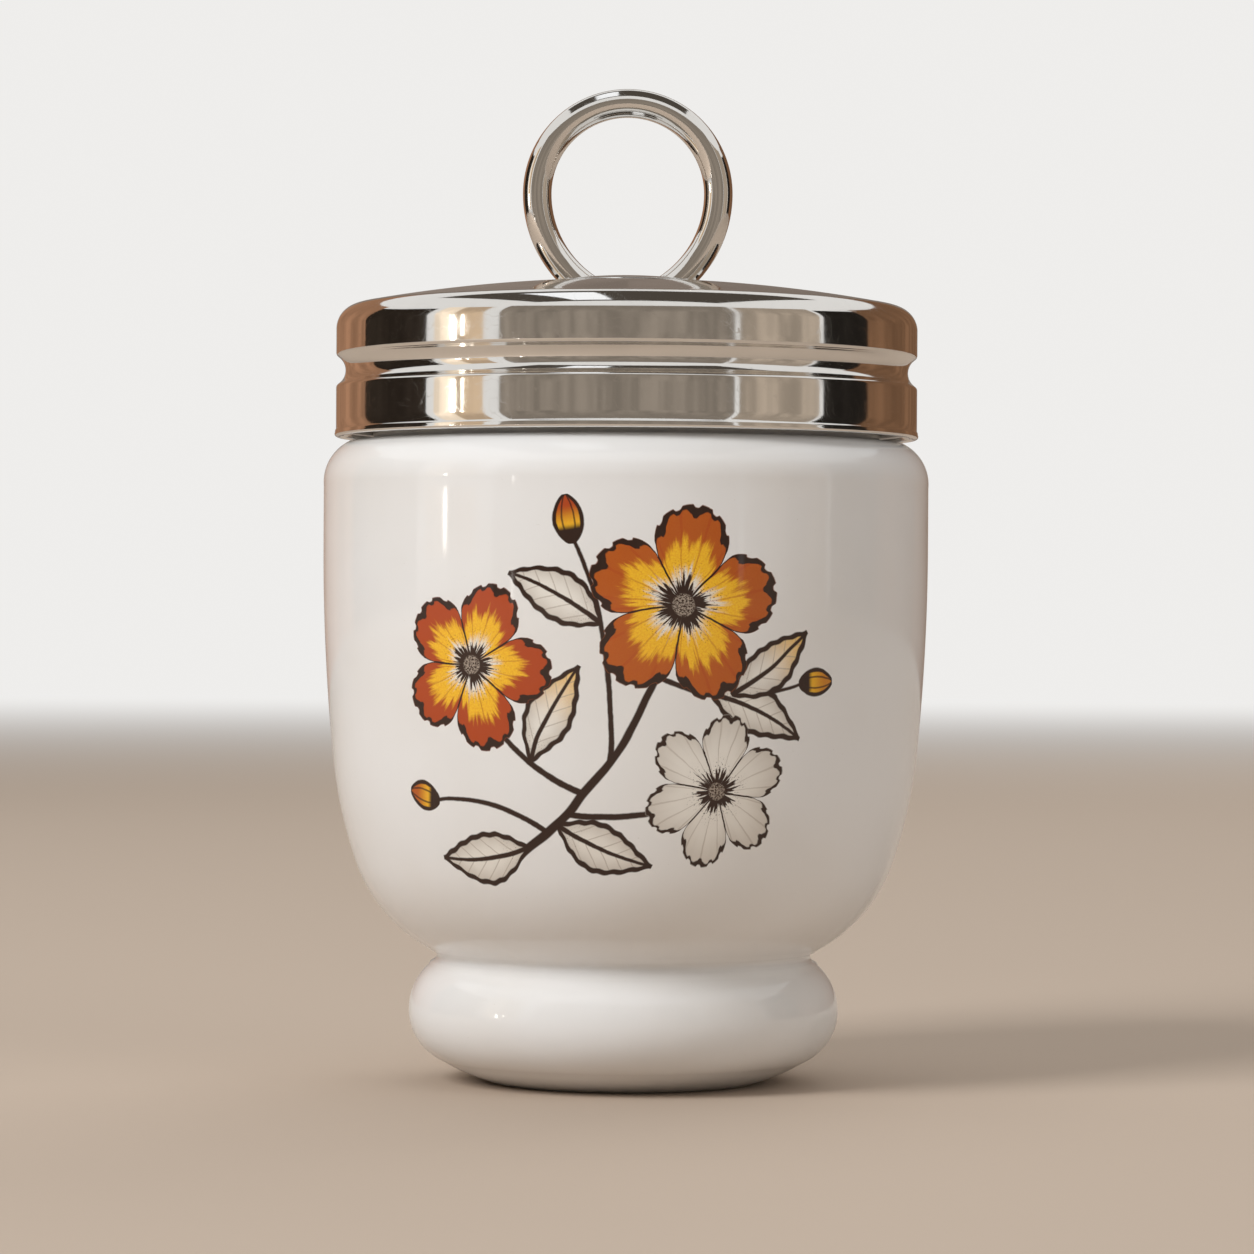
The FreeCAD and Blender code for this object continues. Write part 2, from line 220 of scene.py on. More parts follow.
FLOOR_CORNER = 6.0
FLOOR_FLAT = 15.0
CUP_FLOOR = 15.0
RECESS_DEPTH = 11.0
RECESS_RADIUS = 12.0
RECESS_CORNER = 3.0

# Rings this close carry the screw ridges
THREAD_STEP = 0.22


def facing(place, slope):
    """The place on the inner wall that faces a place on the outer one, a wall away."""
    lean = math.radians(slope)
    return place[0] - CUP_WALL * math.sin(lean), place[1] + CUP_WALL * math.cos(lean)


def cup_outline():
    side_top = LEDGE - SHOULDER_HEIGHT
    side_low = side_top - SIDE_STRAIGHT
    inside = BOWL_RADIUS - CUP_WALL
    ceiling = LEDGE - CUP_WALL
    points = outline([
        (FOOT_BORE, 0.0),
        (FOOT_RING_EDGE, 0.0, FOOT_LOW_CURVE, 1),
        FOOT_LOW + (FOOT_SIDE_CURVE, 1),
        FOOT_WIDEST + (FOOT_TOP_CURVE, 1),
        WAIST + (BELLY_LOW_CURVE, 1),
        BELLY_LOW + (BELLY_MID_CURVE, 1),
        BELLY_HIGH + (BELLY_SIDE_CURVE, 1),
        (BOWL_RADIUS, side_low),
        (BOWL_RADIUS, side_top, SHOULDER_CURVE, 1),
        (BOWL_RADIUS - SHOULDER_INSET, LEDGE),
        (NECK_RADIUS, LEDGE),
    ], closed=False)[:-1]
    points += straight((NECK_RADIUS, LEDGE), (NECK_RADIUS, RIM - RIM_ROUNDING), THREAD_STEP)
    points += outline([
        (NECK_RADIUS, RIM - RIM_ROUNDING, RIM_ROUNDING, 1),
        (NECK_RADIUS - RIM_ROUNDING, RIM),
        (NECK_BORE + RIM_ROUNDING, RIM, RIM_ROUNDING, 1),
        (NECK_BORE, RIM - RIM_ROUNDING),
        (NECK_BORE, ceiling + INNER_NECK_CORNER, INNER_NECK_CORNER, 1),
        (NECK_BORE + INNER_NECK_CORNER, ceiling),
        (inside - INNER_SHOULDER, ceiling, INNER_SHOULDER, -1),
        (inside, ceiling - INNER_SHOULDER),
        (inside, side_low, BELLY_SIDE_CURVE - CUP_WALL, -1),
        facing(BELLY_HIGH, 84.2) + (BELLY_MID_CURVE - CUP_WALL, -1),
        facing(BELLY_LOW, 70.4) + (BELLY_LOW_CURVE - CUP_WALL, -1),
        facing(WAIST, 22.1) + (FLOOR_CORNER, -1),
        (FLOOR_FLAT, CUP_FLOOR),
        (0.0, CUP_FLOOR),
    ], closed=False)
    points += outline([
        (0.0, RECESS_DEPTH),
        (RECESS_RADIUS - RECESS_CORNER, RECESS_DEPTH, RECESS_CORNER, -1),
        (RECESS_RADIUS, RECESS_DEPTH - RECESS_CORNER),
        (FOOT_BORE, 0.0),
    ], closed=False)[:-1]
    points = eased(points, WAIST, 0.7)
    points = eased(points, (NECK_RADIUS, LEDGE), 0.5)
    points = eased(points, (FOOT_BORE, 0.0), 0.5)
    return points


# The printed front in millimetres across and up the wall, and its share of the cup's map
PRINT_LEFT = -26.0
PRINT_RIGHT = 22.0
PRINT_LOW = 20.0
PRINT_HIGH = 61.0
PRINT_CURVE = 30.9
CUP_SEGMENTS = 240
MAP_EDGE = 0.005
MAP_WIDTH = 0.99
PRINT_MAP_LOW = 0.385
PRINT_MAP_HEIGHT = 0.61
REST_MAP_HEIGHT = 0.37


def lay_out_print(piece, points, segments):
    """A map that gives most of its area to the printed front, and the rest to all other faces."""
    mesh = piece.data
    home = []
    for ring, (radius, height) in enumerate(points):
        home += [(ring, None)] if radius < 1e-6 else [(ring, i) for i in range(segments)]
    lengths = [0.0]
    for a, b in zip(points, points[1:] + points[:1]):
        lengths.append(lengths[-1] + math.dist(a, b))
    front = segments * 3 // 4
    first = front + math.floor(PRINT_LEFT / PRINT_CURVE / TURN * segments)
    last = front + math.ceil(PRINT_RIGHT / PRINT_CURVE / TURN * segments)
    top = next(i for i, p in enumerate(points) if p[1] > PRINT_HIGH)
    bottom = next(i for i, p in enumerate(points) if p[1] > PRINT_LOW)
    uv = mesh.uv_layers.new(name=UV_NAME)
    for face in mesh.polygons:
        spots = [home[v] for v in face.vertices]
        sides = [i for ring, i in spots if i is not None]
        if max(sides) - min(sides) > 1:
            spots = [(ring, segments if i == 0 else i) for ring, i in spots]
            sides = [i for ring, i in spots if i is not None]
        rings = [ring for ring, i in spots]
        if max(rings) - min(rings) > 1:
            spots = [(len(points) if ring == 0 else ring, i) for ring, i in spots]
            rings = [ring for ring, i in spots]
        printed = (min(sides) >= first and max(sides) <= last
                   and min(rings) >= bottom and max(rings) <= top)
        for loop, (ring, i) in zip(face.loop_indices, spots):
            side = sum(sides) / len(sides) if i is None else i
            if printed:
                across = (side - first) / (last - first)
                up = (lengths[ring] - lengths[bottom]) / (lengths[top] - lengths[bottom])
                up = PRINT_MAP_LOW + PRINT_MAP_HEIGHT * up
            else:
                across = side / segments
                up = MAP_EDGE + REST_MAP_HEIGHT * lengths[ring] / lengths[-1]
            uv.data[loop].uv = (MAP_EDGE + MAP_WIDTH * across, up)


def make_cup():
    def swell(angle, radius, height):
        if abs(radius - NECK_RADIUS) < 0.02 and height > LEDGE + 0.6:
            return radius + THREAD_DEPTH * ridge_height(
                angle, height, CUP_THREAD_START, CUP_THREAD_TURNS, RIDGE_HALF)
        return radius

    points = cup_outline()
    piece = turned("porcelain_cup", points, CUP_SEGMENTS, swell)
    lay_out_print(piece, points, CUP_SEGMENTS)
    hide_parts("cup")
    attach(piece, "cup")
    return piece


# The lid

LID_SHEET = 0.6
LID_INSIDE = LID_RADIUS - LID_SHEET
GROOVE = LID_BOTTOM + 6.8
GROOVE_CURVE = 1.74
GROOVE_DEPTH = 0.95
SHOULDER = RIM - 0.8
DOME_EDGE = (LID_RADIUS - 2.2, SHOULDER + 2.45)
DOME_RISE = 2.6
DOME_TOP = DOME_EDGE[1] + DOME_RISE
DOME_CURVE = (DOME_EDGE[0] ** 2 + DOME_RISE ** 2) / (2 * DOME_RISE)
DOME_CENTRE = DOME_TOP - DOME_CURVE
LINER_BORE = NECK_RADIUS + THREAD_DEPTH + 0.3
STUD = 2.5


def on_dome(radius, inset=0.0):
    return DOME_CENTRE + math.sqrt((DOME_CURVE - inset) ** 2 - radius ** 2)


def groove_half(curve, away):
    return math.sqrt(curve ** 2 - away ** 2)


def make_lid_shell():
    hole = STUD + 0.1
    outer_half = groove_half(GROOVE_CURVE, GROOVE_CURVE - GROOVE_DEPTH)
    inner_curve = GROOVE_CURVE + LID_SHEET
    inner_half = groove_half(inner_curve, inner_curve - GROOVE_DEPTH)
    inner_scale = (DOME_CURVE - LID_SHEET) / DOME_CURVE
    inner_edge = (DOME_EDGE[0] * inner_scale, DOME_CENTRE + (DOME_EDGE[1] - DOME_CENTRE) * inner_scale)
    points = outline([
        (LID_INSIDE, LID_BOTTOM + 0.2),
        (LID_INSIDE + 0.2, LID_BOTTOM),
        (LID_RADIUS - 0.1, LID_BOTTOM, 0.3, 1),
        (LID_RADIUS + 0.1, LID_BOTTOM + 0.45, 0.45, 1),
        (LID_RADIUS, LID_BOTTOM + 0.8),
        (LID_RADIUS, GROOVE - outer_half, GROOVE_CURVE, -1),
        (LID_RADIUS, GROOVE + outer_half),
        (LID_RADIUS, SHOULDER, 2.5, 1),
        DOME_EDGE + (DOME_CURVE, 1),
        (hole, on_dome(hole)),
        (hole, on_dome(hole, LID_SHEET), DOME_CURVE - LID_SHEET, -1),
        inner_edge + (1.9, -1),
        (LID_INSIDE, SHOULDER),
        (LID_INSIDE, GROOVE + inner_half, inner_curve, 1),
        (LID_INSIDE, GROOVE - inner_half),
    ], step=1.0)
    for side in (-1, 1):
        points = eased(points, (LID_RADIUS, GROOVE + side * outer_half), 0.45)
    piece = turned("polished_cap", points)
    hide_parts("lid_shell")
    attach(piece, "lid")
    return piece


def make_thread_liner():
    low = liner_low[2] / MM
    outside = LID_INSIDE - 0.05
    bead = GROOVE_CURVE + LID_SHEET + 0.1
    half = groove_half(bead, bead - GROOVE_DEPTH - 0.05)
    top = RIM - 0.3
    points = outline([
        (LINER_BORE + 0.3, low),
        (outside - 0.2, low),
        (outside, low + 0.2),
        (outside, GROOVE - half, bead, -1),
        (outside, GROOVE + half),
        (outside, SHOULDER - 0.05),
        (LINER_BORE + 0.3, SHOULDER - 0.05),
        (LINER_BORE + 0.3, top),
        (NECK_RADIUS + 0.6, top),
        (NECK_RADIUS + 0.5, top - 0.1),
        (NECK_RADIUS + 0.5, top - 0.6),
        (LINER_BORE, top - 0.6),
    ], closed=False)[:-1]
    points += straight((LINER_BORE, top - 0.6), (LINER_BORE, low + 0.3), THREAD_STEP)
    points.append((LINER_BORE, low + 0.3))
    start = CUP_THREAD_START - THREAD_PITCH / 2

    def swell(angle, radius, height):
        if abs(radius - LINER_BORE) < 0.02 and low + 0.4 < height < top - 0.7:
            return radius - THREAD_DEPTH * ridge_height(
                angle, height, start, LID_THREAD_TURNS, RIDGE_HALF)
        return radius

    piece = turned("threaded_liner", points, swell=swell)
    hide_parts("thread_liner")
    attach(piece, "lid")
    return piece


def make_lid_seal():
    low, high = seal_low[2] / MM, seal_high[2] / MM
    outer = seal_high[0] / MM
    inner = outer - 4.4
    points = outline([
        (inner, low + 0.15, 0.15, 1),
        (inner + 0.15, low),
        (outer - 0.15, low, 0.15, 1),
        (outer, low + 0.15),
        (outer, high - 0.2, 0.2, 1),
        (outer - 0.2, high),
        (inner + 0.2, high, 0.2, 1),
        (inner, high - 0.2),
    ], step=0.5)
    piece = turned("rim_seal", points, segments=192)
    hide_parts("lid_seal")
    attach(piece, "seal")
    return piece


BOSS_RADIUS = boss_high[0] / MM
BOSS_TOP = DOME_TOP + 0.55
STUD_PITCH = 0.8


def make_boss():
    low = boss_low[2] / MM
    edge_top = on_dome(BOSS_RADIUS) + 0.12
    crown = BOSS_TOP - edge_top
    crown_curve = (BOSS_RADIUS ** 2 + crown ** 2) / (2 * crown)
    points = outline([
        (0.0, low),
        (STUD - 0.4, low),
        (STUD, low + 0.4),
    ], step=0.5, closed=False)[:-1]
    points += straight((STUD, low + 0.4), (STUD, on_dome(STUD)), 0.1)
    points += outline([
        (STUD, on_dome(STUD), DOME_CURVE, -1),
        (BOSS_RADIUS, on_dome(BOSS_RADIUS)),
        (BOSS_RADIUS, edge_top, crown_curve, 1),
        (0.0, BOSS_TOP),
    ], closed=False)
    points = eased(points, (BOSS_RADIUS, edge_top), 0.25)
    thread_top = on_dome(STUD) - LID_SHEET - 0.3

    def swell(angle, radius, height):
        if abs(radius - STUD) < 0.02 and low + 0.3 < height < thread_top:
            run = (height / STUD_PITCH - angle / TURN) % 1
            return radius - 0.3 * abs(2 * run - 1)
        return radius

    piece = turned("ring_base", points, segments=192, swell=swell)
    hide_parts("ring_boss")
    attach(piece, "lid")
    return piece


def make_washer():
    low, high, outer = washer_low[2] / MM, washer_high[2] / MM, washer_high[0] / MM
    points = outline([
        (STUD + 0.1, low + 0.1),
        (STUD + 0.2, low),
        (outer - 0.15, low),
        (outer, low + 0.15),
        (outer, high - 0.15),
        (outer - 0.15, high),
        (STUD + 0.2, high),
        (STUD + 0.1, high - 0.1),
    ], step=0.6)
    piece = turned("flat_washer", points, segments=96)
    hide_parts("boss_washer")
    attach(piece, "lid")
    return piece


def make_nut():
    low, high, corner = nut_low[2] / MM, nut_high[2] / MM, nut_high[0] / MM
    flat = corner * math.cos(TURN / 12)
    points = outline([
        (STUD, low + 0.3),
        (STUD + 0.3, low),
        (flat - 0.1, low),
        (corner, low + 0.35),
        (corner, high - 0.35),
        (flat - 0.1, high),
        (STUD + 0.3, high),
        (STUD, high - 0.3),
    ], step=0.3)

    def swell(angle, radius, height):
        side = (angle + TURN / 12) % (TURN / 6) - TURN / 12
        return min(radius, corner * math.cos(TURN / 12) / math.cos(TURN / 12 - abs(side)))

    piece = turned("hexagon_nut", points, segments=192, swell=swell)
    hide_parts("boss_nut")
    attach(piece, "lid")
    return piece


# The lifting ring, a wire that Geometry Nodes sweep along its path

WIRE_RADIUS = 1.47
RING_RADIUS = ring_high[0] / MM - WIRE_RADIUS
RING_CENTRE = ring_high[2] / MM - WIRE_RADIUS - RING_RADIUS
LEG_CURVE = 11.6


def node_tree(name, sizes):
    """A Geometry Nodes tree with a geometry input and named sizes."""
    tree = bpy.data.node_groups.new(name, "GeometryNodeTree")
    tree.interface.new_socket("Geometry", in_out="INPUT", socket_type="NodeSocketGeometry")
    for size, kind in sizes.items():
        tree.interface.new_socket(size, in_out="INPUT", socket_type=kind)
    tree.interface.new_socket("Geometry", in_out="OUTPUT", socket_type="NodeSocketGeometry")
    return tree


def wire_tree():
    """Sweeps a round wire along the edges of a path."""
    tree = node_tree("swept_wire", {
        "Wire Radius": "NodeSocketFloat",
        "Sides": "NodeSocketInt",
        "Finish": "NodeSocketMaterial",
    })
    add, link = tree.nodes.new, tree.links.new
    given = add("NodeGroupInput").outputs
    path = add("GeometryNodeMeshToCurve")
    section = add("GeometryNodeCurvePrimitiveCircle")
    sweep = add("GeometryNodeCurveToMesh")
    realize = add("GeometryNodeRealizeInstances")
    finish = add("GeometryNodeSetMaterial")
    result = add("NodeGroupOutput")
    link(given["Geometry"], path.inputs["Mesh"])
    link(given["Wire Radius"], section.inputs["Radius"])
    link(given["Sides"], section.inputs["Resolution"])
    link(path.outputs["Curve"], sweep.inputs["Curve"])
    link(section.outputs["Curve"], sweep.inputs["Profile Curve"])
    sweep.inputs["Fill Caps"].default_value = True
    link(sweep.outputs["Mesh"], realize.inputs["Geometry"])
    link(realize.outputs["Geometry"], finish.inputs["Geometry"])
    link(given["Finish"], finish.inputs["Material"])
    link(finish.outputs["Geometry"], result.inputs["Geometry"])
    return tree


def grown(name, base, tree, values):
    """Runs a tree on a base mesh and keeps the result as a plain piece."""
    modifier = base.modifiers.new("grow", "NODES")
    modifier.node_group = tree
    for item in tree.interface.items_tree:
        if item.item_type == "SOCKET" and item.in_out == "INPUT" and item.name in values:
            modifier[item.identifier] = values[item.name]
    depsgraph = bpy.context.evaluated_depsgraph_get()
    mesh = bpy.data.meshes.new_from_object(base.evaluated_get(depsgraph))
    bpy.data.objects.remove(base)
    mesh.name = name
    piece = bpy.data.objects.new(name, mesh)
    bpy.context.scene.collection.objects.link(piece)
    mesh.polygons.foreach_set("use_smooth", [True] * len(mesh.polygons))
    return piece


def cut_level(piece, height):
    """Takes away what lies below a height and closes the openings that are left."""
    work = bmesh.new()
    work.from_mesh(piece.data)
    everything = [*work.verts, *work.edges, *work.faces]
    bmesh.ops.bisect_plane(work, geom=everything, plane_co=(0, 0, height), plane_no=(0, 0, 1),
                           clear_inner=True)
    bmesh.ops.holes_fill(work, edges=[e for e in work.edges if e.is_boundary], sides=0)
    bmesh.ops.recalc_face_normals(work, faces=work.faces)
    for face in work.faces:
        face.smooth = len(face.verts) < 5
    work.to_mesh(piece.data)
    work.free()


def make_lifting_ring(finish):
    leg_end = BOSS_TOP - 0.5
    path_end = leg_end - 2.0
    reach = RING_RADIUS - LEG_CURVE
    end_across = reach + math.sqrt(LEG_CURVE ** 2 - (RING_CENTRE - path_end) ** 2)
    half = outline([
        (0.0, RING_CENTRE + RING_RADIUS, RING_RADIUS, -1),
        (RING_RADIUS, RING_CENTRE, LEG_CURVE, -1),
        (end_across, path_end),
    ], closed=False)
    path = [(-x, z) for x, z in reversed(half)] + half[1:]
    base = new_piece("ring_path", [(x, 0, z) for x, z in path], [],
                     edges=[(i, i + 1) for i in range(len(path) - 1)])
    piece = grown("wire_ring", base, wire_tree(), {
        "Wire Radius": WIRE_RADIUS * MM,
        "Sides": 64,
        "Finish": finish,
    })
    cut_level(piece, leg_end * MM)
    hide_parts("lifting_ring")
    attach(piece, "lid")
    return piece


# Materials

class Link:
    """A shader socket. Python's operators on it add Math nodes."""

    def __init__(self, surface, socket):
        self.surface = surface
        self.socket = socket

    def of(self, name):
        """Another output of the same node."""
        return Link(self.surface, self.socket.node.outputs[name])

    def maths(self, operation, *others):
        return self.surface.add("Math", {"operation": operation}, [self, *others])

    def __add__(self, other):
        return self.maths("ADD", other)

    __radd__ = __add__

    def __sub__(self, other):
        return self.maths("SUBTRACT", other)

    def __rsub__(self, other):
        return self.surface.add("Math", {"operation": "SUBTRACT"}, [other, self])

    def __mul__(self, other):
        return self.maths("MULTIPLY", other)

    __rmul__ = __mul__

    def __truediv__(self, other):
        return self.maths("DIVIDE", other)

    def __pow__(self, other):
        return self.maths("POWER", other)

    def __neg__(self):
        return self.maths("MULTIPLY", -1.0)

    def __abs__(self):
        return self.maths("ABSOLUTE")

    def least(self, other):
        return self.maths("MINIMUM", other)

    def most(self, other):
        return self.maths("MAXIMUM", other)

    def step(self, low, high):
        """0 below low and 1 above high, smooth between, or falling where low is the larger."""
        settings = {"interpolation_type": "SMOOTHSTEP"}
        values = {"Value": self, "From Min": low, "From Max": high, "To Min": 0.0, "To Max": 1.0}
        if not isinstance(low, Link) and not isinstance(high, Link) and low > high:
            values.update({"From Min": high, "From Max": low, "To Min": 1.0, "To Max": 0.0})
        return self.surface.add("MapRange", settings, values)


class Surface:
    """A material whose nodes are added by one method."""

    def __init__(self, name):
        self.material = bpy.data.materials.new(name)
        self.material.use_nodes = True
        self.tree = self.material.node_tree
        self.tree.nodes.clear()

    def add(self, kind, settings=(), values=(), output=0):
        node = self.tree.nodes.new("ShaderNode" + kind)
        for name, setting in dict(settings).items():
            setattr(node, name, setting)
        named = values.items() if isinstance(values, dict) else enumerate(values)
        for name, value in named:
            socket = self.socket(node, name)
            if isinstance(value, Link):
                self.tree.links.new(value.socket, socket)
            else:
                socket.default_value = value
        return Link(self, node.outputs[output]) if node.outputs else None

    @staticmethod
    def socket(node, name):
        """The live input of a name: a Mix node has one for each kind of data."""
        if isinstance(name, int):
            return node.inputs[name]
        return next(i for i in node.inputs if i.name == name and i.enabled)

    def mix(self, factor, first, second):
        """A colour mixed from two."""
        settings = {"data_type": "RGBA"}
        pair = {"A": first, "B": second}
        ready = {k: v if isinstance(v, Link) else (*v, 1.0) for k, v in pair.items()}
        node = self.add("Mix", settings, {"Factor": factor, **ready})
        outputs = node.socket.node.outputs
        return Link(self, next(o for o in outputs if o.name == "Result" and o.enabled))

    def place(self):
        """The object's own coordinates in millimetres: x, y and z."""
        where = self.add("TexCoord", output="Object")
        scaled = self.add("VectorMath", {"operation": "SCALE"}, {"Vector": where, "Scale": 1 / MM})
        parts = self.add("SeparateXYZ", values=[scaled])
        return scaled, parts.of("X"), parts.of("Y"), parts.of("Z")

    def point(self, x, y, z):
        return self.add("CombineXYZ", values=[x, y, z])

    def noise(self, where, scale, detail=2.0, rough=0.5, warp=0.0):
        return self.add("TexNoise", values={
            "Vector": where, "Scale": scale, "Detail": detail, "Roughness": rough, "Distortion": warp,
        })

    def finish(self, values, height=None, depth=1.0):
        """Ends in a Principled shader, with an optional bump whose height is in millimetres."""
        if height is not None:
            values["Normal"] = self.add("Bump", values={
                "Height": height, "Strength": 1.0, "Distance": depth * MM,
            })
        shader = self.add("BsdfPrincipled", values=values)
        self.add("OutputMaterial", values={"Surface": shader})
        return self.material


def polished_metal(name, tint):
    """Bright plated metal: fine polishing lines, faint smudges and a few hairline scratches."""
    s = Surface(name)
    where, x, y, z = s.place()
    radius = (x * x + y * y) ** 0.5
    angle = y.maths("ARCTAN2", x)
    lines = s.noise(s.point(angle * 1.5, radius * 6.0, z * 6.0), 1.0, 3.0, 0.6)
    smudge = s.noise(where, 0.11, 4.0, 0.6, 0.4).step(0.42, 0.72)
    film = s.noise(where, 0.55, 5.0, 0.65).step(0.35, 0.8)
    hair = s.add("TexWave", {"bands_direction": "DIAGONAL"}, {
        "Vector": where, "Scale": 0.35, "Distortion": 18.0, "Detail": 3.0, "Detail Scale": 0.7,
    })
    scratch = hair.step(0.985, 1.0)
    rough = 0.035 + lines * 0.03 + smudge * 0.05 + film * 0.02 + scratch * 0.08
    dull = s.mix(smudge * 0.35 + film * 0.15, tint, [c * 0.90 for c in tint])
    height = lines * 0.0007 + s.noise(where, 0.09, 2.0) * 0.02
    return s.finish({
        "Base Color": dull, "Metallic": 1.0, "Roughness": rough,
    }, height)


def satin_metal():
    """Turned metal seen only with the lid off: lathe lines and a soft bloom."""
    s = Surface("turned_satin_metal")
    where, x, y, z = s.place()
    radius = (x * x + y * y) ** 0.5
    lathe = s.noise(s.point(0.0, radius * 9.0, z * 9.0), 1.0, 4.0, 0.7)
    bloom = s.noise(where, 0.35, 4.0, 0.6)
    colour = s.mix(bloom.step(0.3, 0.75), (0.70, 0.69, 0.67), (0.60, 0.59, 0.57))
    rough = 0.26 + lathe * 0.14 + bloom * 0.08
    return s.finish({"Base Color": colour, "Metallic": 1.0, "Roughness": rough}, lathe * 0.012)


def seal_rubber():
    s = Surface("silicone_rubber")
    where = s.place()[0]
    grain = s.noise(where, 2.6, 4.0, 0.6)
    patch = s.noise(where, 0.12, 3.0, 0.5)
    colour = s.mix(patch.step(0.3, 0.7), (0.74, 0.71, 0.63), (0.66, 0.62, 0.53))
    rough = 0.48 + grain * 0.16
    return s.finish({"Base Color": colour, "Roughness": rough}, grain * 0.02)


PORCELAIN_WHITE = (0.86, 0.855, 0.845)
PORCELAIN_WARM = (0.83, 0.815, 0.79)
BISQUE = (0.80, 0.765, 0.70)


def screen(red, green, blue):
    """A colour given as it looks on a screen, 0 to 255, in linear light."""
    return tuple(((c / 255 + 0.055) / 1.055) ** 2.4 for c in (red, green, blue))


INK = screen(50, 31, 23)
YELLOW = screen(250, 200, 48)
AMBER = screen(240, 172, 40)
RUST = screen(178, 72, 30)
VEIN = screen(166, 152, 138)
PETAL_PALE = screen(236, 231, 222)


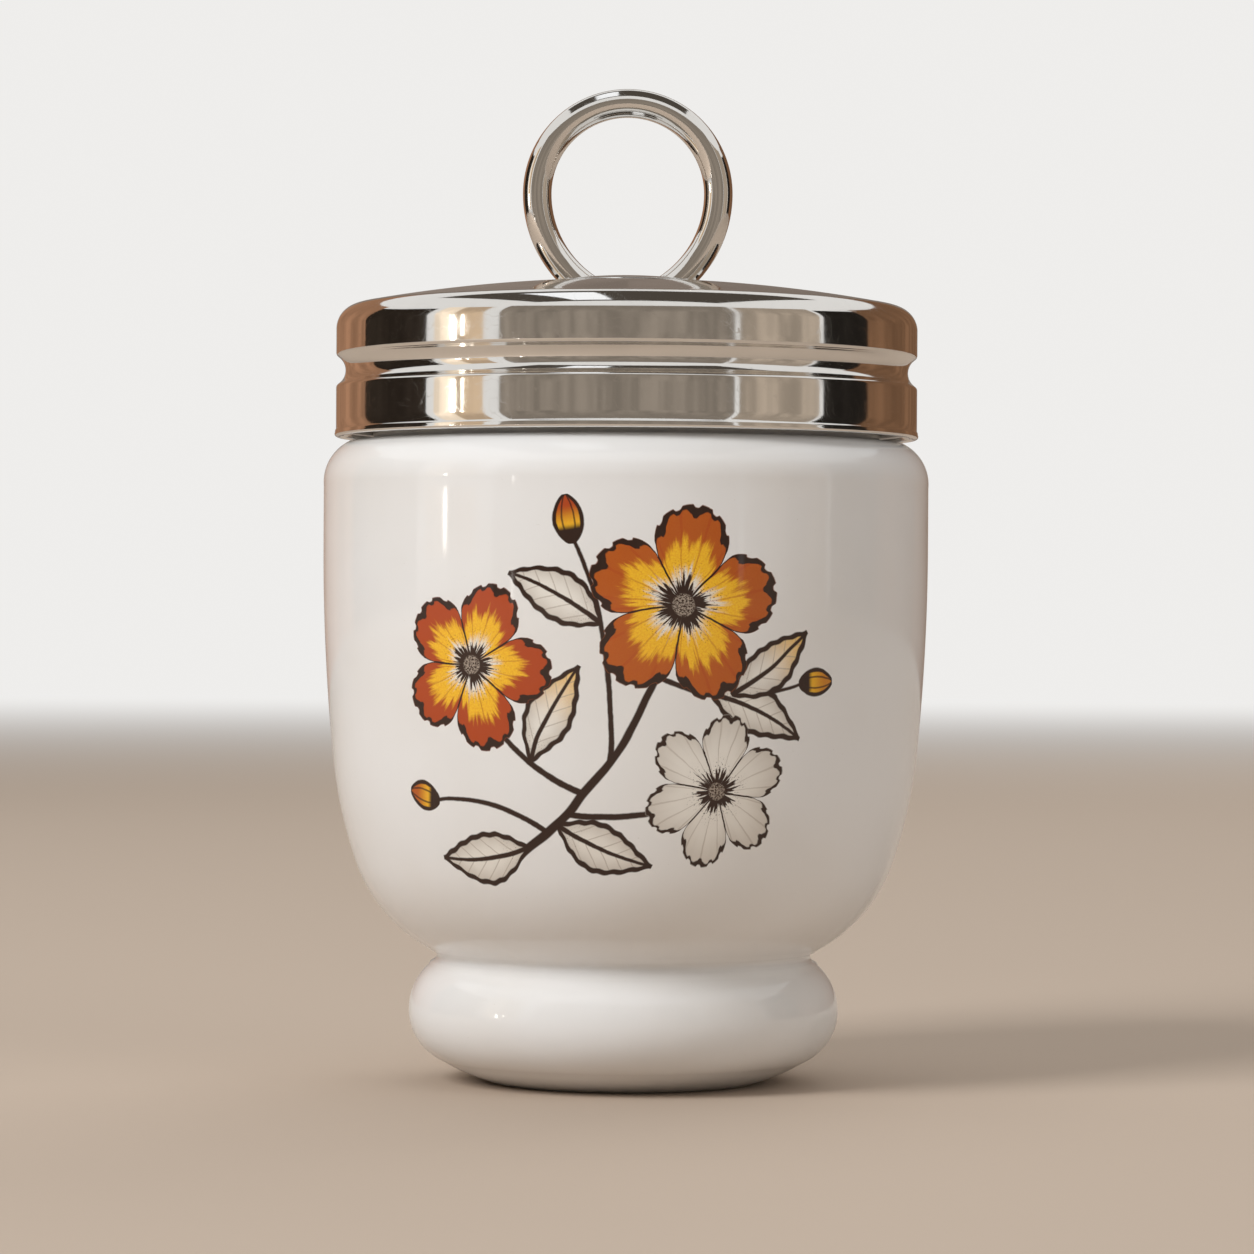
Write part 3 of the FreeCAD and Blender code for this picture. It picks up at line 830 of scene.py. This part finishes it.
class Print:
    """Botanical print laid in thin colour layers on the front of the cup. Places are millimetres
    across and up the wall."""

    def __init__(self, surface, across, up, ground):
        self.s = surface
        self.colour = ground
        wobble = surface.point(across, up, 0.0)
        rough = surface.noise(wobble, 1.6, 2.0) - 0.5
        self.grain = surface.noise(wobble, 5.5, 2.0, 0.6)
        sway = surface.noise(wobble, 0.16, 1.0) - 0.5
        self.across = across + sway * 0.8 + rough * 0.10
        self.up = up - sway * 0.6 + rough * 0.08

    def lay(self, cover, colour):
        self.colour = self.s.mix(cover, self.colour, colour)

    def local(self, place, bearing):
        """Along and across a line that leaves a place at a bearing in degrees."""
        cos, sin = math.cos(math.radians(bearing)), math.sin(math.radians(bearing))
        a, b = self.across - place[0], self.up - place[1]
        return a * cos + b * sin, b * cos - a * sin

    def stem(self, start, end, bend, thick=0.42, thin=0.22):
        """A drawn stem between two places, bowed to one side by bend."""
        span = math.dist(start, end)
        bearing = math.degrees(math.atan2(end[1] - start[1], end[0] - start[0]))
        along, aside = self.local(start, bearing)
        part = along / span
        off = abs(aside - part * (1 - part) * (4 * bend))
        half = thick - part * (thick - thin)
        inside = (half - off).step(-0.07, 0.09) * along.step(-0.1, 0.1) * (span - along).step(-0.1, 0.1)
        self.lay(inside, INK)

    def leaf(self, start, bearing, length, width, bend=0.0, tint=0.0):
        """A pale leaf with an ink edge, a midrib and fine side veins."""
        along, aside = self.local(start, bearing)
        part = (along / length).most(0.0).least(1.0)
        across = aside - part * (1 - part) * (4 * bend)
        half = ((part * math.pi).maths("SINE") * (1.25 - part * 0.5)) * (width / 2)
        half = half + (part * 44.0).maths("SINE") * 0.07
        depth = half - abs(across)
        within = depth.step(-0.08, 0.1) * (along * (length - along)).step(0.0, 0.6)
        body = self.s.mix((1 - depth / (width / 2)).step(0.2, 1.0) * 0.4, PETAL_PALE, VEIN)
        warm = self.s.mix(self.grain.step(0.35, 0.7), YELLOW, AMBER)
        body = self.s.mix((part.step(0.35, 1.0) * tint).least(1.0), body, warm)
        self.lay(within, body)
        ribs = ((along - abs(across) * 1.1) * (TURN / 1.7)).maths("COSINE")
        ribs = ribs.step(0.90, 0.99) * (0.35 + self.grain * 0.6)
        self.lay(within * ribs * 0.75, VEIN)
        spots = self.grain.step(0.60, 0.68) * part.step(0.38, 0.05)
        self.lay(within * spots * 0.8, INK)
        middle = (0.16 - abs(across) + (1 - part) * 0.12).step(-0.05, 0.08)
        self.lay(within * middle, INK)
        edge = (0.30 - abs(depth - 0.06)).step(-0.05, 0.1) * (along * (length - along)).step(-0.2, 0.3)
        self.lay(edge, INK)

    def blossom(self, place, radius, petals, turn, rust, pale=0.0, border=0.07):
        """A flower of rounded petals: pale heart, yellow, rust towards a dark scalloped edge."""
        a, b = self.across - place[0], self.up - place[1]
        away = (a * a + b * b) ** 0.5
        angle = b.maths("ARCTAN2", a) - math.radians(turn)
        lobe = abs((angle * (petals / 2)).maths("COSINE"))
        reach = (0.56 + 0.44 * lobe ** 0.55) * radius
        reach = reach - (angle * (petals * 6)).maths("COSINE").step(0.0, 1.0) * (0.035 * radius)
        depth = reach - away
        within = depth.step(-0.08, 0.10)
        part = away / reach
        streak = self.s.noise(self.s.point(angle * (petals * 1.9), away * 0.22, place[0]), 1.3, 3.0, 0.6)
        streaked = part + (streak - 0.5) * 0.55
        warm = self.s.mix(self.grain.step(0.3, 0.75), YELLOW, AMBER)
        body = self.s.mix(streaked.step(0.22, 0.42) * (1 - pale), PETAL_PALE, warm)
        body = self.s.mix(streaked.step(0.56, 0.72) * rust, body, RUST)
        body = self.s.mix((part.step(0.5, 1.0) * pale) * 0.35, body, VEIN)
        self.lay(within, body)
        fan = (angle * (petals * 3.5)).maths("COSINE")
        veins = (fan - 1 + (away * 0.02).least(0.03) + 0.012).step(-0.014, 0.006)
        veins = veins * part.step(0.15, 0.3) * (0.3 + streak * 0.7)
        self.lay(within * veins * 0.6, self.s.mix(pale, RUST, VEIN))
        fold = (0.26 - lobe * away).step(-0.05, 0.10) * part.step(0.05, 0.2)
        self.lay(within * fold, INK)
        scallop = (angle * (petals * 3)).maths("COSINE").step(-0.4, 1.0)
        rim = (radius * border * (0.55 + scallop * 0.9) + 0.12 - depth).step(-0.08, 0.10)
        self.lay(within * rim, INK)
        rays = self.s.noise(self.s.point(angle * 7.0, away * 0.3, place[1]), 1.5, 2.0)
        heart = (0.02 + rays * 0.52 - part).step(0.0, 0.05)
        dots = self.grain.step(0.60, 0.66) * part.step(0.52, 0.30)
        self.lay(within * heart.most(dots * 0.9), INK)
        eye = (radius * 0.11 - away).step(-0.1, 0.1)
        self.lay(eye, self.s.mix(self.grain.step(0.4, 0.6), INK, VEIN))

    def bud(self, place, bearing, length, width, rust):
        """A closed bud on its cap."""
        along, aside = self.local(place, bearing)
        part = (along / length).most(0.0).least(1.0)
        half = (part * math.pi).maths("SINE") ** 0.7 * (width / 2)
        depth = half - abs(aside)
        within = depth.step(-0.06, 0.1) * (along * (length - along)).step(0.0, 0.3)
        body = self.s.mix(part.step(0.3, 0.8) * rust, self.s.mix(self.grain, YELLOW, AMBER), RUST)
        self.lay(within, body)
        lines = (0.10 - abs(abs(aside) - half * 0.45)).step(-0.04, 0.06)
        self.lay(within * lines * 0.8, INK)
        cap = part.step(0.42, 0.28)
        edge = (0.24 - abs(depth)).step(-0.05, 0.1) * (along * (length - along)).step(-0.1, 0.2)
        self.lay((within * cap).most(edge), INK)


def botanical(surface, across, up, ground):
    """The front's print: a leaning stem with three blossoms, leaves and buds."""
    art = Print(surface, across, up, ground)
    art.stem((-12.6, 23.4), (4.2, 44.5), -2.3, 0.50, 0.34)
    art.stem((-4.3, 30.5), (-15.6, 40.6), 1.4, 0.36, 0.24)
    art.stem((-1.6, 33.6), (-5.2, 55.4), -1.5, 0.32, 0.20)
    art.stem((-6.0, 28.6), (9.4, 31.0), -1.3, 0.34, 0.22)
    art.stem((3.1, 41.9), (18.4, 41.2), -1.6, 0.30, 0.18)
    art.stem((-8.1, 26.7), (-20.8, 29.6), -1.2, 0.32, 0.20)
    art.leaf((-10.2, 25.1), 186.0, 11.0, 4.8, 0.6)
    art.leaf((-7.1, 27.5), -22.0, 10.8, 4.6, -0.5)
    art.leaf((-9.6, 33.6), 60.0, 10.6, 4.6, 0.5, 0.7)
    art.leaf((-2.3, 46.9), 152.0, 10.6, 4.6, -0.5)
    art.leaf((8.4, 40.3), -24.0, 11.0, 4.4, 0.5)
    art.leaf((10.6, 40.1), 36.0, 10.4, 4.2, -0.4, 0.8)
    art.bud((-5.2, 54.6), 98.0, 4.8, 2.8, 1.0)
    art.bud((18.1, 41.2), 4.0, 4.2, 2.5, 0.6)
    art.bud((-20.4, 29.5), 166.0, 4.1, 2.5, 0.9)
    art.blossom((9.4, 30.8), 7.6, 6, 20.0, 0.0, 1.0, 0.05)
    art.blossom((-15.6, 42.8), 8.4, 5, 68.0, 1.0)
    art.blossom((5.6, 48.8), 9.8, 5, 10.0, 0.9)
    return art.colour


def porcelain():
    """Clear glaze over white porcelain, bare bisque on the foot ring."""
    s = Surface("glazed_porcelain")
    where, x, y, z = s.place()
    radius = (x * x + y * y) ** 0.5
    cloud = s.noise(where, 0.045, 3.0, 0.5)
    body = s.mix(cloud.step(0.35, 0.7), PORCELAIN_WHITE, PORCELAIN_WARM)
    bare = z.step(0.32, 0.18) * radius.step(14.6, 14.2)
    speck = s.noise(where, 3.2, 2.0).step(0.74, 0.80) * 0.35
    body = s.mix(speck, body, (0.60, 0.56, 0.50))
    bisque = s.mix(s.noise(where, 2.0, 4.0, 0.7), BISQUE, [c * 0.82 for c in BISQUE])
    front = x.maths("ARCTAN2", -y) * PRINT_CURVE
    drawn = botanical(s, front, z, body)
    inner = (24.9 + (z - 20.0) * 0.25).least(29.2)
    outside = (radius - inner).step(-0.1, 0.1) * (-y).step(0.0, 1.0)
    body = s.mix(outside * z.step(PRINT_LOW, PRINT_LOW + 0.5), body, drawn)
    colour = s.mix(bare, body, bisque)
    peel = s.noise(where, 0.075, 2.0) * 0.05 + s.noise(where, 0.5, 2.0) * 0.0012
    grit = s.noise(where, 6.0, 3.0, 0.7) * 0.03
    rough = 0.055 + s.noise(where, 0.3, 3.0) * 0.03 + bare * 0.55
    return s.finish({
        "Base Color": colour, "Roughness": rough, "IOR": 1.52,
    }, peel * (1 - bare) + grit * bare)


def dress(piece, material):
    piece.data.materials.clear()
    piece.data.materials.append(material)


chrome = polished_metal("polished_plate", (0.80, 0.785, 0.76))
satin = satin_metal()
dress(make_cup(), porcelain())
dress(make_lid_shell(), chrome)
dress(make_thread_liner(), satin)
dress(make_lid_seal(), seal_rubber())
dress(make_boss(), chrome)
dress(make_washer(), satin)
dress(make_nut(), satin)
dress(make_lifting_ring(chrome), chrome)


# Studio

BACKDROP = (0.86, 0.85, 0.835)


def flat_light(name, colour, strength):
    """A glowing card with faint upright streaks, as a room has, so that polish isn't blank."""
    s = Surface(name)
    where, x, y, z = s.place()
    bearing = x.maths("ARCTAN2", -y)
    streaks = s.noise(s.point(bearing * 9.0, 0.0, z * 0.0022), 1.0, 3.0, 0.6)
    height = z.step(-50.0, 850.0)
    shade = s.mix(streaks.step(0.34, 0.66), [c * 0.72 for c in colour], [c * 1.22 for c in colour])
    shade = s.mix(height, shade, [c * 0.80 for c in colour])
    glow = s.add("Emission", values={"Color": shade, "Strength": strength})
    s.add("OutputMaterial", values={"Surface": glow})
    return s.material


def make_floor():
    """A wide pale floor that fades into the backdrop's colour away from the object."""
    s = Surface("studio_floor")
    where, x, y, z = s.place()
    away = (x * x + y * y) ** 0.5
    matt = s.add("BsdfDiffuse", values={"Color": (0.54, 0.44, 0.355, 1.0)})
    glow = s.add("Emission", values={"Color": (*BACKDROP, 1.0), "Strength": 1.0})
    fade = away.step(700.0, 2400.0)
    seen = s.add("MixShader", values=[fade, matt, glow])
    s.add("OutputMaterial", values={"Surface": seen})
    span = 4000.0
    floor = new_piece("floor", [(-span, -span, 0), (span, -span, 0), (span, span, 0), (-span, span, 0)],
                      [(0, 1, 2, 3)], smooth=False)
    floor.data.materials.append(s.material)


def hang(card, colour, strength):
    card.data.materials.append(flat_light(card.name, colour, strength))
    card.visible_camera = False
    card.visible_diffuse = False
    card.visible_shadow = False
    card.visible_transmission = False


def make_ceiling(name, left, right, near, far, height, colour, strength):
    """A level card over the set, seen only in the polish."""
    verts = [(left, near, height), (left, far, height), (right, far, height), (right, near, height)]
    hang(new_piece(name, verts, [(0, 1, 2, 3)]), colour, strength)


def make_card(name, start, end, low, high, colour, strength, away=1250.0):
    """A curved card round the set, between two bearings in degrees, right of the camera positive.
    It is seen only in the polish of metal and glaze."""
    count = 8
    verts, faces = [], []
    for i in range(count + 1):
        bearing = math.radians(start + (end - start) * i / count)
        x, y = away * math.sin(bearing), -away * math.cos(bearing)
        verts += [(x, y, low), (x, y, high)]
    for i in range(count):
        faces.append((2 * i, 2 * i + 2, 2 * i + 3, 2 * i + 1))
    hang(new_piece(name, verts, faces), colour, strength)


def make_lamp(name, place, target, size, power, colour=(0.98, 0.99, 1.0)):
    lamp = bpy.data.lights.new(name, "AREA")
    lamp.shape = "RECTANGLE"
    lamp.size, lamp.size_y = size
    lamp.energy = power
    lamp.color = colour
    holder = bpy.data.objects.new(name, lamp)
    holder.location = place
    holder.visible_glossy = False
    holder.rotation_euler = (Vector(target) - Vector(place)).to_track_quat("-Z", "Y").to_euler()
    bpy.context.scene.collection.objects.link(holder)


def make_world():
    world = bpy.data.worlds.new("studio")
    bpy.context.scene.world = world
    world.use_nodes = True
    tree = world.node_tree
    tree.nodes.clear()
    add, link = tree.nodes.new, tree.links.new
    rays = add("ShaderNodeLightPath").outputs
    metal_too = add("ShaderNodeMath")
    metal_too.operation = "MAXIMUM"
    link(rays["Is Camera Ray"], metal_too.inputs[0])
    link(rays["Is Glossy Ray"], metal_too.inputs[1])
    glass_too = add("ShaderNodeMath")
    glass_too.operation = "MAXIMUM"
    link(metal_too.outputs[0], glass_too.inputs[0])
    link(rays["Is Transmission Ray"], glass_too.inputs[1])
    shown = add("ShaderNodeBackground")
    shown.inputs["Color"].default_value = (*BACKDROP, 1.0)
    fill = add("ShaderNodeBackground")
    fill.inputs["Color"].default_value = (0.80, 0.79, 0.78, 1.0)
    fill.inputs["Strength"].default_value = 0.41
    mix = add("ShaderNodeMixShader")
    link(glass_too.outputs[0], mix.inputs[0])
    link(fill.outputs[0], mix.inputs[1])
    link(shown.outputs[0], mix.inputs[2])
    out = add("ShaderNodeOutputWorld")
    link(mix.outputs[0], out.inputs["Surface"])


CAMERA_AWAY = 0.483
CAMERA_HEIGHT = 0.0472
PHOTO_SIDE = 1254
FOCAL_PIXELS = 4700
HORIZON_ROW = 621
AXIS_COLUMN = 625.4
ROLL = 0.0056
SENSOR = 36.0


def make_camera():
    camera = bpy.data.cameras.new("camera")
    camera.sensor_width = SENSOR
    camera.sensor_fit = "AUTO"
    camera.lens = SENSOR * FOCAL_PIXELS / PHOTO_SIDE
    camera.clip_start = 0.01
    centre = PHOTO_SIDE / 2
    holder = bpy.data.objects.new("camera", camera)
    aside = (centre - AXIS_COLUMN) / FOCAL_PIXELS * CAMERA_AWAY
    down = (centre - HORIZON_ROW) / FOCAL_PIXELS
    level = Matrix.Rotation(math.pi / 2 - down, 4, "X")
    tilt = Matrix.Rotation(-ROLL, 4, "Y")
    holder.matrix_world = Matrix.Translation((aside, -CAMERA_AWAY, CAMERA_HEIGHT)) @ tilt @ level
    bpy.context.scene.collection.objects.link(holder)
    bpy.context.scene.camera = holder


make_floor()
make_card("card_front", -50, 42, -50, 900, (0.30, 0.255, 0.21), 1.0)
make_card("card_window", -80, -70, 60, 800, (1.0, 0.84, 0.66), 1.25)
make_card("card_curtain", -70, -57, 60, 800, (0.66, 0.49, 0.33), 1.0)
make_card("card_wood_left", -168, -124, -50, 800, (0.40, 0.21, 0.12), 1.0)
make_card("card_wood_right", 108, 168, -50, 800, (0.22, 0.115, 0.062), 1.0)
make_card("card_dark_left", -124, -84, -50, 700, (0.03, 0.022, 0.016), 1.0)
make_card("card_pale_right", 44, 80, -50, 800, (0.46, 0.38, 0.30), 1.0)
make_card("card_dark_right", 82, 108, -50, 700, (0.02, 0.017, 0.014), 1.0)
make_card("card_back", 168, 192, -50, 900, (0.26, 0.21, 0.175), 1.0)
make_card("streak_wide", -71.4, -69.8, 70, 175, (1.0, 0.93, 0.84), 16.0, 1200.0)
make_card("streak_narrow", -66.6, -66.0, 120, 190, (1.0, 0.93, 0.84), 12.0, 1200.0)
make_card("streak_low", -42.5, -41.9, -20, 40, (1.0, 0.95, 0.88), 9.0, 1200.0)
make_ceiling("ceiling", -900, 900, -900, 900, 1500, (0.10, 0.085, 0.07), 1.0)
make_ceiling("ceiling_strip", -420, -120, -700, 500, 1450, (0.95, 0.97, 1.0), 1.5)
make_lamp("key", (-0.85, -0.72, 0.85), (0, 0, 0.05), (0.5, 0.7), 12.5)
make_lamp("fill", (0.9, -0.7, 0.6), (0, 0, 0.05), (0.8, 0.8), 2.0)
make_lamp("back", (0.5, 1.0, 0.8), (0, 0, 0.05), (0.9, 0.7), 3.0)
make_lamp("top", (0.0, 0.3, 1.2), (0, 0, 0.05), (0.9, 0.9), 3.0)
make_world()
make_camera()
bpy.context.scene.view_settings.view_transform = "Standard"
